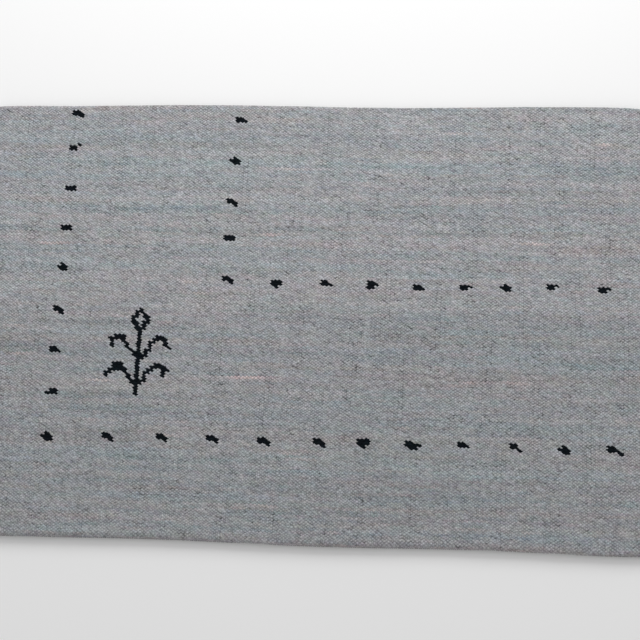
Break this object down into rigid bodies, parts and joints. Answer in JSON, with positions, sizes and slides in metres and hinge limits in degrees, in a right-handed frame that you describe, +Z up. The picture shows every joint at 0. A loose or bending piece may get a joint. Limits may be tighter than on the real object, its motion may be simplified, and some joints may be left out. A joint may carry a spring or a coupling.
{
  "type": "gabbeh rug cut length",
  "caption": "Flat rectangular cut length of a knotted wool gabbeh rug: woven back, dense short pile, dotted border lines and a small plant motif.",
  "frame": {"origin": "middle of the underside, at floor level, under the middle of the bounding box", "axes": "+X along the rows of knots (the long side), +Y along the warps towards the far edge, +Z up out of the pile"},
  "size_m": [0.7946, 0.5314, 0.0119],
  "materials": {
    "wool_pile": "matte streaked grey-blue wool pile with near-black motif knots"
  },
  "bodies": {
    "root": {"rug": "wool_pile"}
  },
  "joints": []
}
